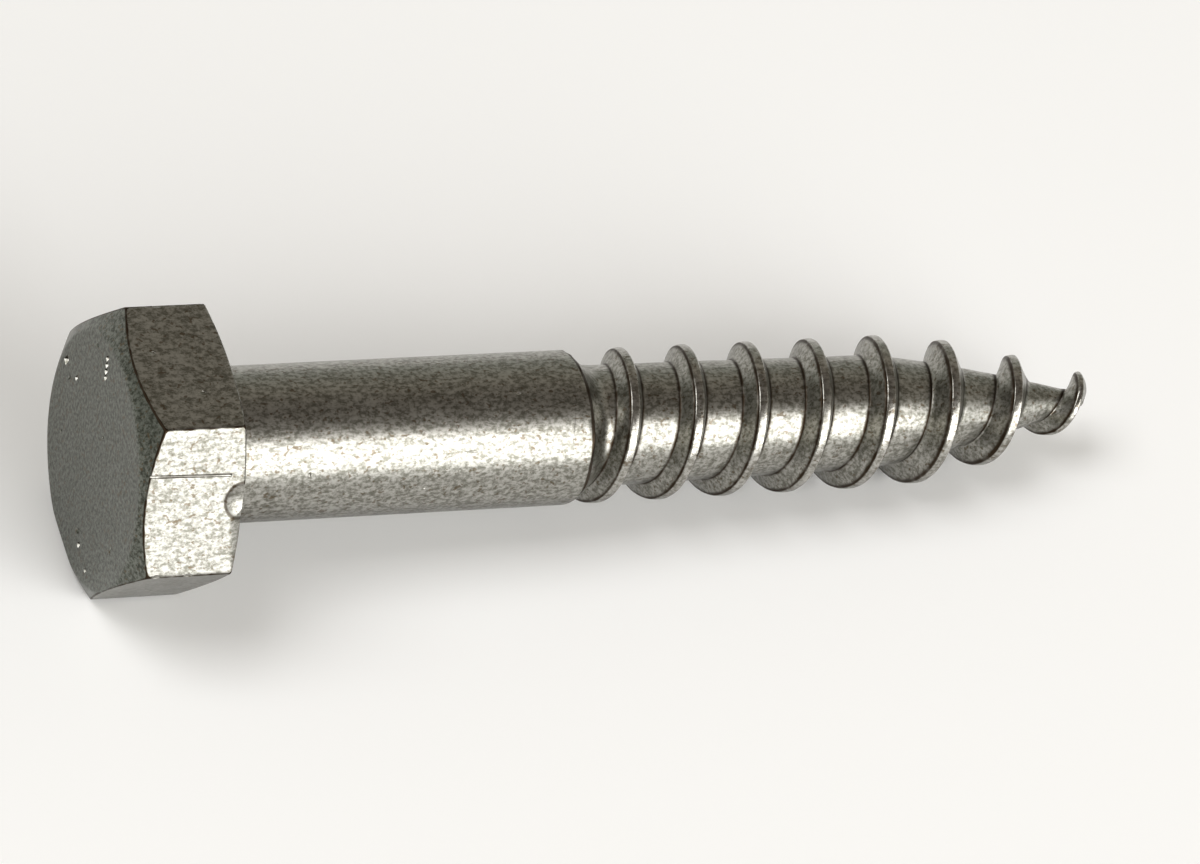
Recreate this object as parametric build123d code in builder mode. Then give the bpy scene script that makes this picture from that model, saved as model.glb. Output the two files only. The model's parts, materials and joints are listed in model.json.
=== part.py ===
from build123d import *
from math import atan2, ceil, cos, degrees, pi, radians, sin, sqrt, tan
import os

# A hexagon-head wood screw, 10 mm across its thread: a cold-headed hexagon,
# a plain shank, and a coarse rolled thread that runs out to a gimlet point.
# It is one solid piece of stainless steel. It lies on one flat of its head
# and on the turn of its thread that reaches the floor first.

# Driving dimensions, in millimetres and degrees.
length = 62.6                 # bearing face to the tip
shank_length = 25.3           # bearing face to the shoulder
shank_diameter = 9.9          # plain part under the head
shoulder_length = 1.4         # slope from the shank down to the body of the thread
shoulder_fillet = 1.8         # hollow at the foot of that slope
head_fillet = 0.4             # shank into the bearing face

thread_diameter = 9.92        # over the ridge
pitch = 4.5                   # one turn of the even thread
thread_hand = -1              # -1 winds left hand, 1 winds right hand
crest_width = 0.36            # flat on top of the ridge
head_flank_angle = 31.0       # the flank towards the head, from the plane across the axis
tip_flank_angle = 39.0        # and the flatter one towards the tip
neck_core_diameter = 7.86     # body between the ridges, at the shoulder
point_core_diameter = 7.4     # and where the point begins: it tapers a little

crest_point_length = 14.0     # the ridge gets lower over this last stretch
crest_point_radius = 1.75     # its radius where it ends at the tip
crest_bulge = 1.4             # 1 would make the point's outline a straight cone
body_point_length = 16.0      # the body's own taper starts a little earlier
body_point_radius = 0.5       # its radius at the very tip
body_bulge = 1.3

tip_angle = -82.7             # where the ridge ends, turned from straight up
tip_margin = 0.15             # from the middle of the ridge's end to the tip
crest_end_width = 0.2         # the ridge's top narrows over its last turn
fade_turns = 0.08             # and the ridge sinks into the body over this part of it
hook_back = 0.8               # the ridge's end is pressed back from the tip
hook_turns = 0.4              # over this part of its last turn
stretched_turns = 4.33        # the pitch grows over the last turns
stretch = 0.11                # growth of the pitch, per turn squared
start_depth = 0.9             # the ridge starts this far inside the shank
rise_turns = 0.35             # and comes out of it over this part of a turn
foot_depth = 0.25             # its foot is sunk this far in the body
sections_per_turn = 8         # ridge sections that its edges run through
body_point_sections = 7       # circles that the body's point is lofted through

across_flats = 17.0
head_height = 6.8
top_circle_inset = 0.3        # flat top's edge, inside the flats
top_chamfer_angle = 30.0
corner_relief_angle = 15.0    # underside, outside the round bearing face
hexagon_shift = (0.12, 0.35)  # trimmed hexagon, off the shank's line
chamfer_shift = (-0.34, 0.47) # upset top, off the shank's line

shank_radius = shank_diameter / 2
shoulder_end = shank_length + shoulder_length
body_point_start = length - body_point_length
unhooked_end = length - tip_margin + hook_back
even_turns_end = unhooked_end - stretch * stretched_turns ** 2
ridge_turns = (even_turns_end - shank_length + start_depth) / pitch


# The screw is drawn upright on its head's bearing face, with z along its axis
# towards the tip and x towards the flat that ends up on top.
def pointed(full_radius, end_radius, taper_length, bulge, z):
    """Radius of an outline that is full before its taper and falls to end_radius at the tip."""
    into_point = max(1 - (length - z) / taper_length, 0.0)
    return full_radius - (full_radius - end_radius) * into_point ** bulge


def body_radius(z):
    """Radius of the body between the ridges."""
    along = (z - shoulder_end) / (body_point_start - shoulder_end)
    diameter = neck_core_diameter + (point_core_diameter - neck_core_diameter) * min(along, 1)
    return pointed(diameter / 2, body_point_radius, body_point_length, body_bulge, z)


def ridge_height_at(turns_back):
    """Where along the axis the ridge's middle is, counted in turns back from its end."""
    growth = stretched_turns ** 2 - max(stretched_turns - turns_back, 0.0) ** 2
    hooked = hook_back * max(1 - turns_back / hook_turns, 0.0) ** 2
    return unhooked_end - hooked - pitch * turns_back - stretch * growth


def ridge_angle_at(turns_back):
    """How far round the axis the ridge is, turned from straight up."""
    return tip_angle - thread_hand * 360 * turns_back


def crest_radius_at(turns_back):
    """Outer radius of the ridge, which is sunk in the body at its end and in the shank at its start."""
    z = ridge_height_at(turns_back)
    full = pointed(thread_diameter / 2, crest_point_radius, crest_point_length, crest_bulge, z)
    sunk_end = body_radius(z) - foot_depth / 2
    sunk_start = shank_radius - foot_depth
    fade = sqrt(min(turns_back / fade_turns, 1.0))
    rise = min((ridge_turns - turns_back) / rise_turns, 1.0)
    return min(sunk_end + (full - sunk_end) * fade, sunk_start + (full - sunk_start) * rise)


def ridge_section(turns_back):
    """Corners of the ridge's section, from its head-side foot over the crest to its tip-side foot."""
    z = ridge_height_at(turns_back)
    crest_radius = crest_radius_at(turns_back)
    foot_radius = body_radius(z) - foot_depth
    half_crest = (crest_end_width + (crest_width - crest_end_width) * min(turns_back, 1.0)) / 2
    depth = crest_radius - foot_radius
    head_side_foot = z - half_crest - depth * tan(radians(head_flank_angle))
    tip_side_foot = z + half_crest + depth * tan(radians(tip_flank_angle))
    turned = radians(ridge_angle_at(turns_back))
    corners = []
    for radius, along in (
        (foot_radius, head_side_foot),
        (crest_radius, z - half_crest),
        (crest_radius, z + half_crest),
        (foot_radius, min(tip_side_foot, length - tip_margin / 2)),
    ):
        corners.append((radius * cos(turned), radius * sin(turned), along))
    return corners


# The ridge: its four edges are smooth curves through its sections. Ruled faces join
# them, a turn at a time, and a flat face closes each end inside the body. All four
# curves count their length alike, so that the faces between them stay even.
section_count = ceil(ridge_turns * sections_per_turn)
along_ridge = [step / section_count for step in range(section_count + 1)]
sections = [ridge_section(ridge_turns * share) for share in along_ridge]
with BuildLine() as ridge_edges:
    for corner in range(4):
        corner_points = [Vector(section[corner]) for section in sections]
        add(Edge.make_spline(corner_points, parameters=along_ridge))
turn_ends = [*range(0, section_count, sections_per_turn), section_count]
ridge_faces = [Face(Wire.make_polygon(section)) for section in (sections[0], sections[-1])]
for first, last in zip(turn_ends, turn_ends[1:]):
    turn_edges = []
    for corner, edge in enumerate(ridge_edges.edges()):
        turn_edges.append(edge.trim(Vector(sections[first][corner]), Vector(sections[last][corner])))
    for corner in range(4):
        neighbour = turn_edges[(corner + 1) % 4]
        ridge_faces.append(Face.make_surface_from_curves(turn_edges[corner], neighbour))
ridge = Solid(Shell(ridge_faces))

# The shank, its fillet and hollow shoulder, and the body of the thread, turned about
# the axis, then the body's point, lofted through circles down to the tip.
with BuildPart() as stem:
    with BuildSketch(Plane.XZ) as stem_profile:
        with BuildLine():
            Line((0, 0), (shank_radius + head_fillet, 0))
            RadiusArc((shank_radius + head_fillet, 0), (shank_radius, head_fillet), head_fillet)
            Line((shank_radius, head_fillet), (shank_radius, shank_length))
            Line((shank_radius, shank_length), (body_radius(shoulder_end), shoulder_end))
            Line((body_radius(shoulder_end), shoulder_end), (body_radius(body_point_start), body_point_start))
            Line((body_radius(body_point_start), body_point_start), (0, body_point_start))
            Line((0, body_point_start), (0, 0))
        make_face()
        shoulder_foot = (body_radius(shoulder_end), shoulder_end, 0)
        fillet(stem_profile.vertices().sort_by_distance(shoulder_foot)[0], radius=shoulder_fillet)
    revolve(axis=Axis.Z)
    for step in range(body_point_sections):
        z = body_point_start + body_point_length * step / (body_point_sections - 1)
        with BuildSketch(Plane.XY.offset(z)):
            Circle(body_radius(z))
    loft()

# The head: a hexagon trimmed from a round blank whose top is chamfered, with its
# corners relieved underneath, so that it bears on a round face.
corner_radius = across_flats / 2 / cos(pi / 6)
reach = corner_radius + sum(map(abs, hexagon_shift + chamfer_shift))
top_radius = across_flats / 2 - top_circle_inset
top_edge_height = (reach - top_radius) * tan(radians(top_chamfer_angle)) - head_height
relief_depth = (reach - across_flats / 2) * tan(radians(corner_relief_angle))
blank_plane = Plane((*chamfer_shift, 0), x_dir=(1, 0, 0), z_dir=(0, -1, 0))
relief_plane = Plane((*hexagon_shift, 0), x_dir=(1, 0, 0), z_dir=(0, -1, 0))
with BuildPart() as head:
    with BuildSketch():
        with Locations(hexagon_shift):
            RegularPolygon(across_flats / 2, 6, major_radius=False, rotation=30)
    extrude(amount=-head_height)
    with BuildSketch(blank_plane):
        with BuildLine():
            Polyline(
                (0, -head_height), (top_radius, -head_height), (reach, top_edge_height),
                (reach, 0), (0, 0), close=True,
            )
        make_face()
    revolve(axis=Axis(blank_plane.origin, (0, 0, 1)), mode=Mode.INTERSECT)
    with BuildSketch(relief_plane):
        with BuildLine():
            Polyline(
                (0, -head_height), (reach, -head_height), (reach, -relief_depth),
                (across_flats / 2, 0), (0, 0), close=True,
            )
        make_face()
    revolve(axis=Axis(relief_plane.origin, (0, 0, 1)), mode=Mode.INTERSECT)

# Lying down, the screw leans from the edge of the flat under it, at the bearing
# face, to whichever turn of the ridge reaches the floor first.
flat_drop = across_flats / 2 - hexagon_shift[0]
turns_to_floor = (180 - tip_angle) / (-thread_hand * 360) % 1
leans = []
for turn in range(int(ridge_turns)):
    drop = flat_drop - crest_radius_at(turns_to_floor + turn)
    distance = ridge_height_at(turns_to_floor + turn) + crest_width / 2
    leans.append(atan2(drop, distance))
lean = min(leans)

# The origin is the middle of the bearing face, +Z is up, and the tip points
# along +X and a little down.
lying = Plane((0, 0, 0), x_dir=(sin(lean), 0, cos(lean)), z_dir=(cos(lean), 0, -sin(lean)))
with BuildPart(lying) as lag_screw:
    add(head.part)
    add(stem.part)
    add(ridge)

lag_screw.part.label = "lag_screw"
os.makedirs("parts", exist_ok=True)
export_step(lag_screw.part, "parts/lag_screw.step")
print("lag_screw leans", round(degrees(lean), 3), "degrees; ridge turns", round(ridge_turns, 3))
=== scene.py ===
"""A hexagon-head lag screw of plain stainless steel, lying on its side on a pale floor."""

import json
import math

import bpy
from mathutils import Matrix, Vector, noise


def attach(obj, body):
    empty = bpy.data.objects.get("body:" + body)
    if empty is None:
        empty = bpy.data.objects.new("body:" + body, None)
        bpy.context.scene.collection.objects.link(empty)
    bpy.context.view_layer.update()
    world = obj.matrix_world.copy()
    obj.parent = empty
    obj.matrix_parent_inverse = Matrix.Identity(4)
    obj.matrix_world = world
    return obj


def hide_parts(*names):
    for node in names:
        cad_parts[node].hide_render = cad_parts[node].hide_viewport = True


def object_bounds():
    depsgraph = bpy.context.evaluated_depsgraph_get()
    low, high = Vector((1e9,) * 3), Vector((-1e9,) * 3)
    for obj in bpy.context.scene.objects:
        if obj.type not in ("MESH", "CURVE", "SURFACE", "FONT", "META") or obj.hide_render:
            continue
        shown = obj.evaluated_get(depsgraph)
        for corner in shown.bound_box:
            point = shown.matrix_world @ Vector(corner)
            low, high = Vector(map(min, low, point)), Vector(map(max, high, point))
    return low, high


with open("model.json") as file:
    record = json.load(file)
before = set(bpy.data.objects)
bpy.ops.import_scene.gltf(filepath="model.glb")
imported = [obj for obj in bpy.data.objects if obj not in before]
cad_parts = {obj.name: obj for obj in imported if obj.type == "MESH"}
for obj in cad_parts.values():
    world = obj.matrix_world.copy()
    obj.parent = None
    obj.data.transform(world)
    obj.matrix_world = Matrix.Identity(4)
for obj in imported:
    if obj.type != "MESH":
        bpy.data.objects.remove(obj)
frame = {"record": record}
cad_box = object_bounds()

# ---------------------------------------------------------------------------
# The head: a hexagon of stainless steel, upset cold on the end of the bar and
# trimmed. Its top is chamfered round, a little off the shank's line, and its
# corners are relieved underneath.
# ---------------------------------------------------------------------------

# the screw is made upright in millimetres, tip up, with the bearing face at
# z = 0, and is laid down when it is whole
across_flats = 17.0
head_height = 6.8
hexagon_centre = Vector((0.12, 0.35))
top_centre = Vector((-0.34, 0.47))
top_radius = 8.2
chamfer_slope = math.tan(math.radians(30))
relief_slope = math.tan(math.radians(15))
narrowest_chamfer = 0.12
edge_break = 0.09
thin_edge = (66, 88, 0.85, 0.25)        # from and to this direction, height where it starts and ends
thin_edge_slope = 0.36
section_directions = (0, 1.3, 4, 9, 15, 22, 30, 38, 45, 51, 56, 58.7)    # from a corner to the next
top_support = 0.35                      # rings this far from an edge keep its rounding narrow
edge_support = 0.1
wide_support = 0.6
strip_support = 0.12
bearing_support = 0.4
bearing_rings = (7.2, 6.4)
head_smoothing = 2


def deselect():
    bpy.ops.object.select_all(action="DESELECT")


def take(piece):
    """Make this piece the only one selected."""
    deselect()
    bpy.context.view_layer.objects.active = piece
    piece.select_set(True)


def edit(piece):
    take(piece)
    bpy.ops.object.mode_set(mode="EDIT")
    bpy.ops.mesh.select_all(action="SELECT")


def leave():
    bpy.ops.object.mode_set(mode="OBJECT")


def select_vertices(piece, wanted):
    """Select the vertices whose position is wanted, while the piece is edited."""
    bpy.ops.mesh.select_mode(type="VERT")
    bpy.ops.mesh.select_all(action="DESELECT")
    leave()
    for vertex in piece.data.vertices:
        vertex.select = wanted(vertex.co)
    bpy.ops.object.mode_set(mode="EDIT")


def finish_with(piece, kind, **settings):
    """Add a modifier with these settings and apply it."""
    modifier = piece.modifiers.new(kind.title(), kind)
    for name, value in settings.items():
        setattr(modifier, name, value)
    take(piece)
    bpy.ops.object.modifier_apply(modifier=modifier.name)


def combine(piece, tool, operation):
    """Join the tool to the piece or cut it away; the tool is used up."""
    finish_with(piece, "BOOLEAN", operation=operation, solver="EXACT", object=tool)
    bpy.data.objects.remove(tool)


def head_section(direction, facing):
    """The head's section in this direction, from the top over the side to the bearing face:
    pairs of a distance from the hexagon's centre and a height."""
    side = across_flats / 2 / math.cos(math.radians((direction + 30) % 60 - 30))
    aside = hexagon_centre - top_centre
    towards = facing.dot(aside)
    top_edge = math.sqrt(top_radius ** 2 - aside.length_squared + towards ** 2) - towards
    top_edge = min(top_edge, side - narrowest_chamfer)
    corner_reach = (hexagon_centre + side * facing - top_centre).length
    chamfer_end = max(corner_reach - top_radius, narrowest_chamfer) * chamfer_slope - head_height
    relief_end = -max(side - across_flats / 2, 0) * relief_slope
    break_height = edge_break
    break_depth = edge_break
    first, last, first_height, last_height = thin_edge
    if first <= direction <= last:
        break_height = first_height + (last_height - first_height) * (direction - first) / (last - first)
        break_depth = thin_edge_slope * break_height
    inner = side - break_depth
    inner_height = -max(inner - across_flats / 2, 0) * relief_slope
    flat_end = relief_end - break_height
    chamfer = Vector((side - top_edge, chamfer_end + head_height))
    chamfer_start = chamfer * min(0.3, 0.3 / chamfer.length)
    chamfer_stop = chamfer * max(0.7, 1 - edge_support / chamfer.length)
    support_reach = inner - strip_support
    return (
        (0.8 * top_edge, -head_height),
        (top_edge - top_support, -head_height),
        (top_edge, -head_height),
        (top_edge + chamfer_start.x, chamfer_start.y - head_height),
        (top_edge + chamfer_stop.x, chamfer_stop.y - head_height),
        (side, chamfer_end),
        (side, chamfer_end + edge_support),
        (side, chamfer_end + wide_support),
        (side, (chamfer_end + flat_end) / 2),
        (side, flat_end - wide_support),
        (side, flat_end - edge_support),
        (side, flat_end),
        (inner, inner_height),
        (support_reach, -max(support_reach - across_flats / 2, 0) * relief_slope),
        (min(inner - bearing_support, across_flats / 2 - edge_support), 0),
        (bearing_rings[0], 0),
        (bearing_rings[1], 0),
    )


deselect()
columns = 6 * len(section_directions)
rings = len(head_section(0, Vector((1, 0))))
bpy.ops.mesh.primitive_circle_add(vertices=columns, radius=1)
head = bpy.context.object
head.name = "head"
edit(head)
for ring in range(1, rings):
    bpy.ops.mesh.extrude_region_move()
    bpy.ops.transform.resize(value=((ring + 1) / ring, (ring + 1) / ring, 1), center_override=(0, 0, 0))
leave()
for vertex in head.data.vertices:
    ring = round(vertex.co.xy.length) - 1
    column = round(math.atan2(vertex.co.y, vertex.co.x) / math.tau * columns) % columns
    corner, step = divmod(column, len(section_directions))
    direction = 30 + 60 * corner + section_directions[step]
    facing = Vector((math.cos(math.radians(direction)), math.sin(math.radians(direction))))
    reach, height = head_section(direction % 360, facing)[ring]
    vertex.co = (*(hexagon_centre + reach * facing), height)

# the top and the bearing face are closed
edit(head)
bpy.ops.mesh.fill_holes(sides=0)
bpy.ops.mesh.normals_make_consistent(inside=False)
leave()
finish_with(head, "SUBSURF", levels=head_smoothing, render_levels=head_smoothing)

# ---------------------------------------------------------------------------
# The marks on the head: dents and nicks from the tray and the trimming die,
# pressed into the finished head. Each tool has its own size and lie, and all
# are cut away at once.
# ---------------------------------------------------------------------------
head_tools = []


def hollow(place, size, turned):
    """An egg-shaped tool with these half sizes, turned about the screw's axis."""
    deselect()
    bpy.ops.mesh.primitive_uv_sphere_add(segments=20, ring_count=12, radius=1, location=place,
                                         scale=size, rotation=(0, 0, math.radians(turned)))
    return bpy.context.object


def chip(place, facing, length, width):
    """A square tool that leaves a flat facet facing this way, with its deepest edge at this place."""
    deselect()
    across = -Vector(facing).normalized()
    lie = across.to_track_quat("X", "Z")
    centre = Vector(place) - length / 2 * (across + lie @ Vector((0, 0, 1)))
    bpy.ops.mesh.primitive_cube_add(size=1, location=centre, scale=(length, width, length),
                                    rotation=lie.to_euler())
    return bpy.context.object


def cut_away(piece, tools):
    """Join the tools and cut them all away."""
    take(tools[0])
    for tool in tools:
        tool.select_set(True)
    bpy.ops.object.join()
    combine(piece, tools[0], "DIFFERENCE")


def flat_place(turned, sideways, height, out=0.0):
    """A place on the hexagon's flat that faces this way, this far out of it."""
    facing = Vector((math.cos(math.radians(turned)), math.sin(math.radians(turned))))
    beside = Vector((-facing.y, facing.x))
    return (*(hexagon_centre + (across_flats / 2 + out) * facing + sideways * beside), height)


# chips in the top, whose facets face up as the screw lies: place, depth and width
chip_facing = (0.823, 0.241, -0.514)
top_chips = [(0.46, -6.95, 0.3, 0.44), (1.1, -5.0, 0.2, 0.24), (-6.2, 2.55, 0.2, 0.28),
             (-6.45, 4.4, 0.15, 0.22)]
chip_length = 2.2                       # for each millimetre of depth
scratch_start = Vector((6.24, -2.39))
scratch_end = Vector((5.11, -1.78))
for share in (0.0, 0.34, 0.67, 1.0):
    top_chips.append((*scratch_start.lerp(scratch_end, share), 0.2, 0.29))
for x, y, depth, width in top_chips:
    head_tools.append(chip((x, y, depth - head_height), chip_facing, chip_length * depth, width))

# round pits in the top: place, half length, half width, and lie of the length
top_pits = ((0.25, -5.75, 0.3, 0.15, 20), (5.6, -4.0, 0.3, 0.16, 40), (-1.9, 6.3, 0.45, 0.1, -10),
            (-5.6, 1.9, 0.35, 0.2, 30), (-3.4, -4.4, 0.2, 0.12, 15), (2.2, 0.6, 0.16, 0.12, 70))
for x, y, half_length, half_width, lie in top_pits:
    place = (x, y, -head_height - 0.3 * half_width)
    head_tools.append(hollow(place, (half_length, half_width, half_width), lie))

# the flat that faces 60 degrees round: a fine crease along it, and the nick
# where it meets the bearing face
creased_flat = 60
crease_sideways = -1.8
crease_lean = -0.029
nick_sideways = 0.05
deselect()
bpy.ops.mesh.primitive_cylinder_add(vertices=12, radius=0.13, depth=5.4,
                                    location=flat_place(creased_flat, crease_sideways, -3.7, 0.07),
                                    rotation=(crease_lean, 0, math.radians(creased_flat)))
head_tools.append(bpy.context.object)
nick_place = flat_place(creased_flat, nick_sideways, 0.0)
nick_tool_place = flat_place(creased_flat, nick_sideways, 0.0, 0.92)
head_tools.append(hollow(nick_tool_place, (1.2, 1.87, 2.06), creased_flat))

# small knocks on the flats: direction, sideways, height, half size
flat_dents = ((0, 2.1, -2.4, 0.2), (0, -1.2, -4.8, 0.16), (120, 1.5, -3.3, 0.2), (180, -2.6, -2.0, 0.22),
              (240, 0.6, -4.1, 0.2), (240, -3.1, -2.2, 0.16), (300, 1.8, -3.0, 0.22),
              (300, -2.2, -4.9, 0.15))
for turned, sideways, height, size in flat_dents:
    place = flat_place(turned, sideways, height, size * 0.7)
    head_tools.append(hollow(place, (size * 0.9, size, size * 1.6), turned))

# the corner edges are nicked: direction of the corner, height, half length, depth
corner_nicks = ((90, -5.35, 0.4, 0.13), (90, -3.25, 0.5, 0.1), (210, -2.2, 0.4, 0.14),
                (330, -3.6, 0.35, 0.12), (150, -4.4, 0.3, 0.1))
corner_blunt = 0.05
for turned, height, half_length, depth in corner_nicks:
    facing = Vector((math.cos(math.radians(turned)), math.sin(math.radians(turned))))
    corner_reach = across_flats / 2 / math.cos(math.radians(30)) - corner_blunt
    reach = corner_reach + half_length - depth
    place = (*(hexagon_centre + reach * facing), height)
    head_tools.append(hollow(place, (half_length, half_length, half_length), turned))
cut_away(head, head_tools)

# ---------------------------------------------------------------------------
# The thread: one ridge rolled round the slightly tapered steel body, out of the
# shank and over the point. Rolling leaves a round crest with a lap beside it,
# and presses the ridge's end back from the tip.
# ---------------------------------------------------------------------------
length = 62.6
shank_length = 25.3
shank_radius = 4.95
shoulder_length = 1.4
shoulder_hollow = 1.6
shoulder_end = shank_length + shoulder_length
neck_core_radius = 3.93
point_core_radius = 3.7
thread_radius = 4.96
pitch = 4.5
thread_hand = -1
crest_head_side = 0.32              # the crest's width each side of the ridge's middle
crest_tip_side = 0.26
crest_fall = 0.05                   # and how much lower it is at its edge towards the head
crest_end_share = 0.5               # its width on the last turn's end
sunk_end = 0.15                     # how far the ridge's ends start below the stem
sunk_start = 0.25
end_turns = 0.08                    # and how many turns they take to come out of it
start_turns = 0.35
head_flank_slope = math.tan(math.radians(30))
tip_flank_slope = math.tan(math.radians(31))
crest_point = (14.0, 1.75, 1.4)     # length, end radius, bulge
body_point = (16.0, 0.5, 1.3)
tip_angle = -82.7
ridge_end_height = 63.25
ridge_turns = 8.175
hook_back = 0.8
hook_turns = 0.4
stretched_turns = 4.33
stretch = 0.11
crest_rounding = 0.22
head_root_rounding = 0.2
tip_root_rounding = 0.28
lap_across = -1.05
lap_half_width = 0.05
lap_depth = 0.05
lap_start_turns = 0.3
worn_turns_back = 0.65
worn_turns = 0.22
worn_depth = 0.32
broad_grain = 1.1
fine_grain = 0.45
uneven_height = 52.0
uneven_length = 9.0
tip_lift = 0.2
lifted_height = 59.5
lifted_length = 3.0
tip_dome = 0.08
tip_wear = 0.03
wound_turns = 10
steps_per_turn = 150
zones = 6                           # a pitch is three zones each side of the ridge's middle
doubles_gap = 0.002
thread_bottom = 23.3
lap_shade_width = 0.15                    # widths, in zones, of the painted shade at the lap and the foot, and of the gutter's painted highlight
foot_shade_width = 0.13
gutter_across = -2.5
gutter_highlight_width = 0.3
gutter_turns = 1.3
unmarked_turns = 0.2


def smooth_max(a, b, rounding):
    """The larger of the two, with the corner between them rounded."""
    mix = min(max(0.5 + 0.5 * (a - b) / rounding, 0.0), 1.0)
    return b + (a - b) * mix + rounding / 2 * mix * (1 - mix)


def smooth_min(a, b, rounding):
    """The smaller of the two, with the corner between them rounded."""
    return -smooth_max(-a, -b, rounding)


def pointed(full_radius, point, z):
    """The radius at this height, which falls from the full one to that of the point's end."""
    point_length, end_radius, bulge = point
    into_point = max(1 - (length - z) / point_length, 0.0)
    return full_radius - (full_radius - end_radius) * into_point ** bulge


def stem_radius(z):
    """The shank, its hollow shoulder and the tapering body, without the ridge."""
    if z <= shank_length:
        return shank_radius
    along = (z - shoulder_end) / (length - body_point[0] - shoulder_end)
    full = neck_core_radius + (point_core_radius - neck_core_radius) * min(along, 1)
    body = pointed(full, body_point, min(z, length))
    up_the_shoulder = max(1 - (z - shank_length) / shoulder_length, 0.0)
    shoulder = body + (shank_radius - body) * up_the_shoulder ** shoulder_hollow
    return min(shoulder, shank_radius)


def ridge_height(turns_back):
    """Height of the ridge's middle, so many turns back from its end."""
    back = max(turns_back, 0.0)
    growth = stretched_turns ** 2 - max(stretched_turns - back, 0.0) ** 2
    hooked = hook_back * max(1 - back / hook_turns, 0.0) ** 2
    end_slope = pitch + 2 * stretch * stretched_turns - 2 * hook_back / hook_turns
    past_the_end = min(turns_back, 0.0) * end_slope
    return ridge_end_height - hooked - pitch * back - stretch * growth - past_the_end


def crest_radius(turns_back):
    """Radius of the ridge's crest, which sinks into the stem at both of its ends."""
    z = ridge_height(turns_back)
    full = pointed(thread_radius, crest_point, min(z, length))
    full -= worn_depth * math.exp(-((turns_back - worn_turns_back) / worn_turns) ** 2)
    at_end = stem_radius(z) - sunk_end
    at_start = shank_radius - sunk_start
    fade = math.sqrt(min(max(turns_back, 0.0) / end_turns, 1.0))
    rise = min(max(ridge_turns - turns_back, 0.0) / start_turns, 1.0)
    return min(at_end + (full - at_end) * fade, at_start + (full - at_start) * rise)


def thread_surface(turns_back, across):
    """Height and radius of a point on the thread. across is 0 on the middle of the ridge,
    1 at the edge of its crest, 2 at its foot and 3 halfway to the next turn, less than 0
    on the head's side and more than 0 on the tip's side."""
    side = 1 if across > 0 else -1
    land, slope, root_rounding = crest_head_side, head_flank_slope, head_root_rounding
    fall = crest_fall
    if across > 0:
        land, slope, root_rounding = crest_tip_side, tip_flank_slope, tip_root_rounding
        fall = 0
    middle = ridge_height(turns_back)
    halfway = abs(ridge_height(turns_back - side) - middle) / 2
    crest = crest_radius(turns_back)
    land *= crest_end_share + (1 - crest_end_share) * min(max(turns_back, 0.0), 1.0)
    ridge_depth = max(crest - stem_radius(middle), 0.1)
    foot = min(land + ridge_depth * slope, 0.8 * halfway)
    stops = (0, land, foot, halfway)
    zone = min(int(abs(across)), 2)
    aside = stops[zone] + (stops[zone + 1] - stops[zone]) * (abs(across) - zone)
    z = middle + side * aside
    top = crest - fall * aside / land
    flank = crest - fall - (aside - land) / slope
    ridge = smooth_min(top, flank, min(crest_rounding, ridge_depth * 0.6))
    lap = math.exp(-((across - lap_across) / lap_half_width) ** 2)
    into_lap = max(ridge_turns - lap_start_turns - turns_back, 0.0)
    ridge -= lap_depth * lap * min(max(turns_back, 0.0), into_lap, 1.0)
    return z, smooth_max(stem_radius(z), ridge, root_rounding)


def unevenness(place):
    """Rolling leaves the thread uneven, most of all towards the tip, where it isn't backed."""
    towards_tip_end = min(max((place.z - uneven_height) / uneven_length, 0.0), 1.0)
    broad = noise.noise(place / broad_grain)
    fine = noise.noise(place / fine_grain)
    broad_depth = 0.03 + 0.05 * towards_tip_end
    fine_depth = 0.012 + 0.03 * towards_tip_end
    return broad_depth * (broad - 1) / 2 + fine_depth * (fine - 1) / 2


def place_name(place):
    """A place to a micrometre, by which a point is found again after other pieces are joined to it."""
    return tuple(round(1000 * value) for value in place)


deselect()
bpy.ops.mesh.primitive_plane_add(size=1, location=(0, 0, 0))
screw = bpy.context.object
screw.name = "screw"
head_side = (0.35, 0.65, 0.82, 0.92, 0.97, 1.01, 1.05, 1.09, 1.13, 1.2, 1.35, 1.6, 1.8, 1.9, 1.95, 1.98,
             2.01, 2.05, 2.1, 2.2, 2.35, 2.6, 3.0)
tip_side = (0.5, 0.85, 1.0, 1.1, 1.2, 1.35, 1.6, 1.75, 1.87, 1.95, 2.03, 2.12, 2.22, 2.35, 2.5, 2.75, 3.0)
profile = [-stop for stop in reversed(head_side)] + [0, *tip_side]
edit(screw)
bpy.ops.mesh.merge(type="CENTER")
bpy.ops.transform.translate(value=(shank_radius, 0, profile[0] * pitch / zones))
for lower, upper in zip(profile, profile[1:]):
    step = (upper - lower) * pitch / zones
    bpy.ops.mesh.extrude_region_move(TRANSFORM_OT_translate={"value": (0, 0, step)})
leave()
finish_with(screw, "SCREW", angle=math.radians(360 * thread_hand), screw_offset=pitch,
            iterations=wound_turns, steps=steps_per_turn, render_steps=steps_per_turn)
edit(screw)
bpy.ops.mesh.remove_doubles(threshold=doubles_gap)
leave()
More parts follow.
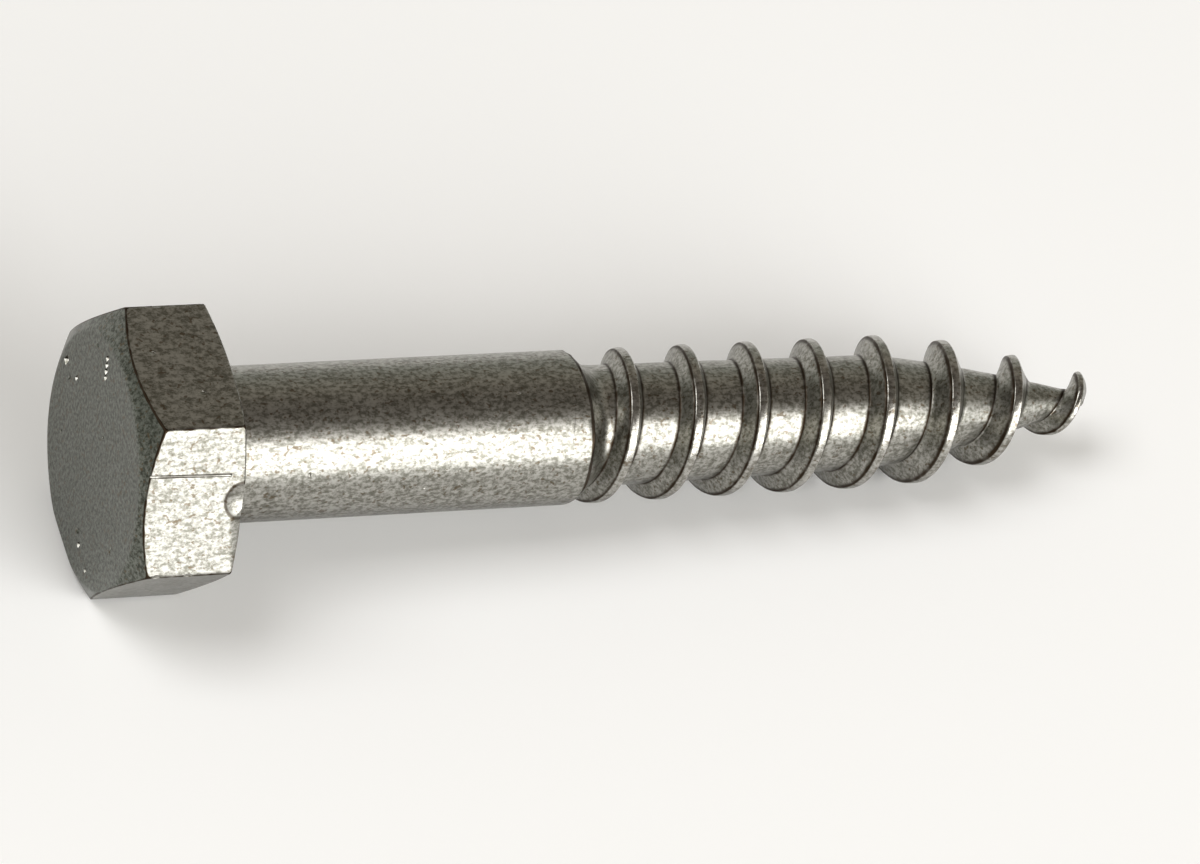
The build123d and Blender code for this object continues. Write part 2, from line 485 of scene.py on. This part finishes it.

# every point of the even winding is moved to its place on the thread, and
# where it gets painted shade, or a painted highlight on the rubbed crest and in the gutter, is noted
marks_at = {}
for vertex in screw.data.vertices:
    around = math.degrees(math.atan2(vertex.co.y, vertex.co.x))
    turn_share = around / 360 * thread_hand % 1
    turns_up = vertex.co.z / pitch - turn_share
    across = (turns_up - round(turns_up)) * zones
    turns_back = wound_turns - 1 - round(turns_up) - turn_share
    z, radius = thread_surface(turns_back, across)
    turned = math.radians(tip_angle + around)
    place = Vector((radius * math.cos(turned), radius * math.sin(turned), z))
    if z > shank_length:
        place += Vector((place.x, place.y, 0)).normalized() * unevenness(place)
    place.x += tip_lift * max((z - lifted_height) / lifted_length, 0.0) ** 2
    vertex.co = place
    # painted shade along the ridge's lap and at its foot, where shade falls
    near_lap = math.exp(-((across - lap_across) / lap_shade_width) ** 2)
    near_foot = math.exp(-((abs(across) - 2.0) / foot_shade_width) ** 2)
    # the crest is rubbed bright and also gets a painted highlight; the gutter by the shank gets a painted
    # highlight
    on_crest = min(max(6 - 5 * abs(across), 0.0), 1.0)
    gutter_highlight = 0.0
    if turns_back > ridge_turns - gutter_turns:
        gutter_highlight = 0.8 * math.exp(-((across - gutter_across) / gutter_highlight_width) ** 2)
    if 0 < turns_back < ridge_turns - unmarked_turns:
        marks_at[place_name(vertex.co)] = (min(near_lap + near_foot, 1.0), on_crest + gutter_highlight)

# the uneven ends of the winding are cut off square
edit(screw)
bpy.ops.mesh.bisect(plane_co=(0, 0, shank_length), plane_no=(0, 0, 1))
bpy.ops.mesh.select_all(action="SELECT")
bpy.ops.mesh.bisect(plane_co=(0, 0, length - tip_wear - tip_dome), plane_no=(0, 0, 1), clear_outer=True)
for height, share in ((tip_dome * 0.6, 0.85), (tip_dome * 0.4, 0.6)):
    bpy.ops.mesh.extrude_region_move(TRANSFORM_OT_translate={"value": (0, 0, height)})
    bpy.ops.transform.resize(value=(share, share, 1), center_override=(tip_lift, 0, 0))
bpy.ops.mesh.merge(type="COLLAPSE")

# ---------------------------------------------------------------------------
# The shank: the plain steel bar between the thread and the head, with a fillet
# where it meets the bearing face. It is drawn down from the thread's lower end
# and let into the head, and it has a few dents.
# ---------------------------------------------------------------------------
head_fillet = 0.4
fillet_steps = 5
shank_steps = 23
into_head = 0.5
sharpest_smooth_edge = 28

bpy.ops.mesh.select_all(action="SELECT")
bpy.ops.mesh.bisect(plane_co=(0, 0, thread_bottom), plane_no=(0, 0, 1), clear_inner=True)
select_vertices(screw, lambda place: place.z < thread_bottom + 0.001)
for step in range(shank_steps):
    down = (thread_bottom - head_fillet) / shank_steps
    bpy.ops.mesh.extrude_region_move(TRANSFORM_OT_translate={"value": (0, 0, -down)})
fillet_radius = shank_radius
for step in range(1, fillet_steps + 1):
    angle = math.pi / 2 * step / fillet_steps
    down = head_fillet * (math.sin(angle) - math.sin(angle - math.pi / 2 / fillet_steps))
    grown = shank_radius + head_fillet * (1 - math.cos(angle))
    bpy.ops.mesh.extrude_region_move(TRANSFORM_OT_translate={"value": (0, 0, -down)})
    growth = grown / fillet_radius
    bpy.ops.transform.resize(value=(growth, growth, 1), center_override=(0, 0, 0))
    fillet_radius = grown
bpy.ops.mesh.extrude_region_move(TRANSFORM_OT_translate={"value": (0, 0, -into_head)})
bpy.ops.mesh.edge_face_add()
bpy.ops.mesh.select_all(action="SELECT")
bpy.ops.mesh.normals_make_consistent(inside=False)
leave()
combine(screw, head, "UNION")

# dents: angle round the shank, height, half length along it, half width round it, depth
shank_dents = ((78, 13.96, 0.5, 0.75, 0.07), (63, 5.9, 0.22, 0.3, 0.05), (52, 16.8, 0.9, 0.16, 0.03),
               (-60, 9.5, 0.6, 0.5, 0.05), (200, 17.5, 0.5, 0.7, 0.06), (130, 8.2, 0.3, 0.5, 0.05),
               (-140, 14.1, 1.0, 0.2, 0.04), (10, 20.4, 0.3, 0.22, 0.04))
shank_tools = []
for turned, height, half_length, half_width, depth in shank_dents:
    facing = math.radians(turned)
    reach = shank_radius + half_width - depth
    place = (reach * math.cos(facing), reach * math.sin(facing), height)
    shank_tools.append(hollow(place, (half_width, half_width, half_length), turned))
cut_away(screw, shank_tools)
# the painted shade in the thread's corners, and the rubbed crest with the painted highlight on it and in the
# gutter, are kept as attributes of the points
for number, name in enumerate(("grime", "burnish")):
    mark = screw.data.attributes.new(name, "FLOAT", "POINT")
    for vertex in screw.data.vertices:
        mark.data[vertex.index].value = marks_at.get(place_name(vertex.co), (0, 0))[number]

# laid down along the axis that the screw's mounts give
mounts = {mount["name"]: mount for mount in frame["record"]["mounts"]}
towards_tip = Vector(mounts["hole_axis"]["axis"])
flat_up = Vector((-towards_tip.z, 0, towards_tip.x))
lying = Matrix((flat_up, towards_tip.cross(flat_up), towards_tip)).transposed().to_4x4()
screw.data.transform(lying @ Matrix.Scale(0.001, 4))
screw.data.update()
take(screw)
bpy.ops.object.shade_smooth_by_angle(angle=math.radians(sharpest_smooth_edge))

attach(screw, "root")
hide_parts("lag_screw")

# ---------------------------------------------------------------------------
# The finish: dull stainless steel as it leaves the header and the thread rolls.
# Its grain runs along the bar and round the thread. Painted shade darkens the
# head's top and underside and lies in brown lines in corners, creases and
# along edges; the thread's crest is rubbed bright and has a painted highlight,
# and the gutter by the shank has a painted highlight.
# ---------------------------------------------------------------------------
pale_metal = (0.4, 0.392, 0.362, 1)
dull_metal = (0.15, 0.146, 0.122, 1)
# painted shade: the head's top is darker
pale_shaded_top = (0.175, 0.185, 0.162, 1)
dull_shaded_top = (0.052, 0.055, 0.044, 1)
# the crest's colours: rubbed bright, with a painted highlight
pale_crest = (0.46, 0.45, 0.42, 1)
dull_crest = (0.2, 0.19, 0.165, 1)
# brown painted shade for corners, creases and edges
brown_painted_shade = (0.034, 0.023, 0.014, 1)
brown_speck = (0.1, 0.072, 0.042, 1)
# painted shade for faces turned down to the floor
painted_underside_shade = (0.02, 0.018, 0.014, 1)
polish = 0.3

# lines of painted shade: how far below each surface they reach along the edges,
# and from and to where the other ones fade in and out
edge_line = 0.22
crease_sides = (0.16, 0.04)
crease_start = (-6.0, -5.6)
crease_stop = (-0.7, -1.1)
nick_line_inside = (1.0, 1.22)
nick_line_outside = (1.45, 1.28)
shank_end_before = (-0.25, -0.1)
shank_end_after = (0.25, 0.05)

# grains: cells in a millimetre, detail and roughness
speckle_grain = (4.0, 3, 0.7)
drawn_grain = (3.4, 2, 0.6)
rolled_grain = (1.0, 2, 0.6)
speck_grain = (3.4, 1, 0.5)
speckle_contrast = 5.0
line_contrast = 1.2


class Quantity:
    """A socket in a tree of nodes. Sums of quantities and numbers add Math nodes."""

    def __init__(self, tree, socket=None):
        self.tree = tree
        self.socket = socket

    def node(self, kind, settings, values, output=0):
        """Add a node of this kind, with its settings and then its sockets' values or links."""
        added = self.tree.nodes.new(kind)
        for name, value in settings.items():
            if name == "stops":
                ramp = added.color_ramp.elements
                while len(ramp) < len(value):
                    ramp.new(1)
                for element, (position, colour) in zip(ramp, value):
                    element.position = position
                    element.color = colour
            else:
                setattr(added, name, value)
        for name, value in values.items():
            if isinstance(value, Quantity):
                self.tree.links.new(value.socket, added.inputs[name])
            else:
                added.inputs[name].default_value = value
        return Quantity(self.tree, added.outputs[output])

    def reckon(self, operation, first, second):
        return self.node("ShaderNodeMath", {"operation": operation}, {0: first, 1: second})

    def larger(self, other):
        return self.reckon("MAXIMUM", self, other)

    def vector_sum(self, operation, other, output=0):
        """What this Vector Math operation gives with another vector."""
        values = {0: self, 1: tuple(other)}
        return self.node("ShaderNodeVectorMath", {"operation": operation}, values, output)

    def part_along(self, direction):
        return self.vector_sum("DOT_PRODUCT", direction, "Value")

    def __add__(self, other):
        return self.reckon("ADD", self, other)

    def __radd__(self, other):
        return self.reckon("ADD", other, self)

    def __sub__(self, other):
        return self.reckon("SUBTRACT", self, other)

    def __rsub__(self, other):
        return self.reckon("SUBTRACT", other, self)

    def __mul__(self, other):
        return self.reckon("MULTIPLY", self, other)

    def __rmul__(self, other):
        return self.reckon("MULTIPLY", other, self)

    def between(self, low, high):
        """0 where the quantity is low, 1 where it is high, and smooth from one to the other."""
        return self.node("ShaderNodeMapRange", {"interpolation_type": "SMOOTHSTEP"},
                         {"Value": self, "From Min": low, "From Max": high})

    def stretched(self, *factors):
        return self.vector_sum("MULTIPLY", factors)

    def distance_from(self, centre):
        """Distance from the line through this point of the upright screw, along its axis."""
        return self.stretched(0, 1, 1).vector_sum("DISTANCE", (0, -centre.y, centre.x), "Value")

    def grain(self, scale, detail=2.0, roughness=0.5):
        """Noise at this place, with so many cells in a millimetre."""
        return self.node("ShaderNodeTexNoise", {},
                         {"Vector": self, "Scale": scale, "Detail": detail, "Roughness": roughness})

    def blended(self, colour, other):
        """One colour where the quantity is 0 and the other where it is 1."""
        return self.node("ShaderNodeMix", {"data_type": "RGBA"}, {0: self, 6: colour, 7: other}, 2)


steel = bpy.data.materials.new("stainless_steel")
steel.use_nodes = True
shader = steel.node_tree.nodes["Principled BSDF"]
links = steel.node_tree.links
start = Quantity(steel.node_tree)
lean = math.atan2(-towards_tip.z, towards_tip.x)
raw_place = start.node("ShaderNodeTexCoord", {}, {}, "Object")
place = start.node("ShaderNodeMapping", {},
                   {"Vector": raw_place, "Rotation": (0, -lean, 0), "Scale": (1000, 1000, 1000)})
along = start.node("ShaderNodeSeparateXYZ", {}, {"Vector": place}, "X")
normal = start.node("ShaderNodeTexCoord", {}, {}, "Normal")
facing_tip = normal.part_along(towards_tip)
underside = normal.part_along((0, 0, -1)).between(0.05, 0.5)
# painted shade in the thread's corners
in_corners = start.node("ShaderNodeAttribute", {"attribute_name": "grime"}, {}, "Fac")
# the crest rubbed bright with a painted highlight, and the gutter's painted highlight
rubbed_and_highlit = start.node("ShaderNodeAttribute", {"attribute_name": "burnish"}, {}, "Fac")


def nearness(below):
    """1 on a surface of the head, and 0 an edge line's width below it."""
    return below.between(edge_line, 0)


def flat_facing(turned):
    """Which way this flat faces as the screw lies, and how far below it each point is."""
    facing = Vector((0, -math.sin(math.radians(turned)), math.cos(math.radians(turned))))
    reach = across_flats / 2 + facing.z * hexagon_centre.x - facing.y * hexagon_centre.y
    return facing, reach - place.part_along(facing)


# two surfaces of the head are near only along an edge, where painted shade darkens it
from_top = place.distance_from(top_centre)
in_relief = (place.distance_from(hexagon_centre) - across_flats / 2).larger(0) * relief_slope
below_chamfer = (along + head_height - (from_top - top_radius) * chamfer_slope) * math.cos(math.radians(30))
near_surfaces = nearness(along + head_height).larger(nearness(below_chamfer))
near_surfaces = near_surfaces + nearness(-1 * along - in_relief)
for turned in range(0, 360, 60):
    facing, below_flat = flat_facing(turned)
    near_surfaces = near_surfaces + nearness(below_flat)
on_head = along.between(0.1, 0.0)

# painted shade lies in the crease, round the nick and where the shank ends
facing, below_flat = flat_facing(creased_flat)
crease_aside = Vector((0, -facing.z, facing.y))
crease_place = facing.z * hexagon_centre.y + facing.y * hexagon_centre.x + crease_sideways
beside_crease = place.part_along(crease_aside) - crease_place
outer_side, inner_side = crease_sides
across_crease = (beside_crease.between(-outer_side, -inner_side)
                 * beside_crease.between(outer_side, inner_side))
in_crease = across_crease * nearness(below_flat) * along.between(*crease_start) * along.between(*crease_stop)
from_nick = place.vector_sum("DISTANCE", (nick_place[2], -nick_place[1], nick_place[0]), "Value")
round_nick = from_nick.between(*nick_line_inside) * from_nick.between(*nick_line_outside)
past_shank = along - shank_length
at_shank_end = past_shank.between(*shank_end_before) * past_shank.between(*shank_end_after)

on_thread = along.between(shank_length, shoulder_end)
# the head's top and chamfer, turned away from the tip, get painted shade
facing_head = (-0.45 - 1.0 * facing_tip).between(0.0, 0.3)
speckle = place.stretched(0.7, 1, 1).grain(*speckle_grain)
drawn = place.stretched(0.22, 1, 1).grain(*drawn_grain)
rolled = place.stretched(5.0, 0.7, 0.7).grain(*rolled_grain)
lines = drawn + on_thread * (rolled - drawn)
tone = (0.5 + speckle_contrast * (speckle - 0.5) + line_contrast * (lines - 0.5)).between(-0.3, 1.3)
mottle = place.grain(0.45, 2).between(0.35, 0.65)
specks = place.stretched(0.8, 1, 1).grain(*speck_grain).between(0.63, 0.7)
patches = place.grain(1.3, 1)
# brown painted shade along the head's edges, in the crease, round the nick, in the thread's corners and at
# the shank's end
edge_shade = (near_surfaces - 1.95 + 0.9 * patches + 0.6 * speckle).between(0.2, 0.8) * on_head
crease_and_nick_shade = (0.7 * in_crease + 0.8 * round_nick * on_head) * (0.3 + 1.2 * speckle)
thread_corner_shade = 0.95 * in_corners * (0.5 + patches)
painted_shade = (thread_corner_shade + edge_shade + crease_and_nick_shade + 0.9 * at_shank_end).between(0.1, 1.0)

metal = tone.blended(dull_metal, pale_metal)
# paler crest, rubbed bright and with a painted highlight; paler gutter, a painted highlight
bright = (0.85 * rubbed_and_highlit).blended(metal, tone.blended(dull_crest, pale_crest))
# painted shade on the head's top and chamfer
with_top_shade = (facing_head * on_head).blended(bright, tone.blended(dull_shaded_top, pale_shaded_top))
# painted shade on faces turned down to the floor
shaded = (0.34 * underside).blended(with_top_shade, painted_underside_shade)
specked = (0.7 * specks).blended(shaded, brown_speck)
# the brown painted shade goes over all of it
links.new(painted_shade.blended(specked, brown_painted_shade).socket, shader.inputs["Base Color"])
links.new((polish + 0.04 * mottle + 0.15 * painted_shade - 0.05 * rubbed_and_highlit).socket, shader.inputs["Roughness"])
height = 0.6 * speckle + 0.5 * lines - 0.4 * specks
bump = start.node("ShaderNodeBump", {}, {"Strength": 0.3, "Distance": 0.00002, "Height": height})
links.new(bump.socket, shader.inputs["Normal"])
shader.inputs["Metallic"].default_value = 1
screw.data.materials.clear()
screw.data.materials.append(steel)

# ---------------------------------------------------------------------------
# The floor, the lamps and the camera: a matt white sheet under a dim room, with
# a soft box in front of the screw and a weaker one above and behind it.
# ---------------------------------------------------------------------------
floor_height = cad_box[0][2]
floor_white = (0.95, 0.95, 0.95, 1)
light_level = 1.1
deselect()
bpy.ops.mesh.primitive_plane_add(size=6, location=(0, 0, floor_height))
floor = bpy.context.object
floor.name = "floor"
floor_paint = bpy.data.materials.new("floor_paint")
floor_paint.use_nodes = True
floor_shader = floor_paint.node_tree.nodes["Principled BSDF"]
floor_shader.inputs["Base Color"].default_value = floor_white
floor_shader.inputs["Roughness"].default_value = 0.9
floor_shader.inputs["Specular IOR Level"].default_value = 0.1
floor.data.materials.append(floor_paint)

scene = bpy.context.scene
scene.view_settings.view_transform = "Standard"
world = bpy.data.worlds.new("room")
scene.world = world
world.use_nodes = True
room = Quantity(world.node_tree)
sky = room.node("ShaderNodeTexCoord", {}, {}, "Generated")
upward = room.node("ShaderNodeSeparateXYZ", {}, {"Vector": sky}, "Z")
room_stops = ((0.0, (0.43, 0.45, 0.41, 1)), (0.69, (0.33, 0.30, 0.25, 1)),
              (0.85, (0.15, 0.13, 0.11, 1)), (1.0, (0.13, 0.115, 0.10, 1)))
room_colour = room.node("ShaderNodeValToRGB", {"stops": room_stops}, {"Fac": upward}, "Color")
backdrop = world.node_tree.nodes["Background"]
world.node_tree.links.new(room_colour.socket, backdrop.inputs["Color"])
backdrop.inputs["Strength"].default_value = light_level


def add_lamp(name, direction, distance, width, height, power):
    """A soft box that faces the screw from this direction."""
    lamp_data = bpy.data.lights.new(name, "AREA")
    lamp_data.shape = "RECTANGLE"
    lamp_data.size = width
    lamp_data.size_y = height
    lamp_data.energy = power * light_level
    lamp = bpy.data.objects.new(name, lamp_data)
    scene.collection.objects.link(lamp)
    towards = Vector(direction).normalized()
    lamp.location = towards * distance
    lamp.rotation_euler = (-towards).to_track_quat("-Z", "Y").to_euler()


add_lamp("key", (0.44, -0.80, 0.40), 1.2, 1.0, 0.92, 13.2)
add_lamp("fill", (-0.5, 0.1, 0.86), 1.4, 0.8, 0.8, 8.3)

camera = bpy.data.objects.new("camera", bpy.data.cameras.new("camera"))
scene.collection.objects.link(camera)
camera.data.lens = 240
camera.location = (-0.15444, -0.28405, 0.38356)
camera.rotation_euler = (math.radians(39.361), math.radians(-13.141), math.radians(-17.220))
scene.camera = camera
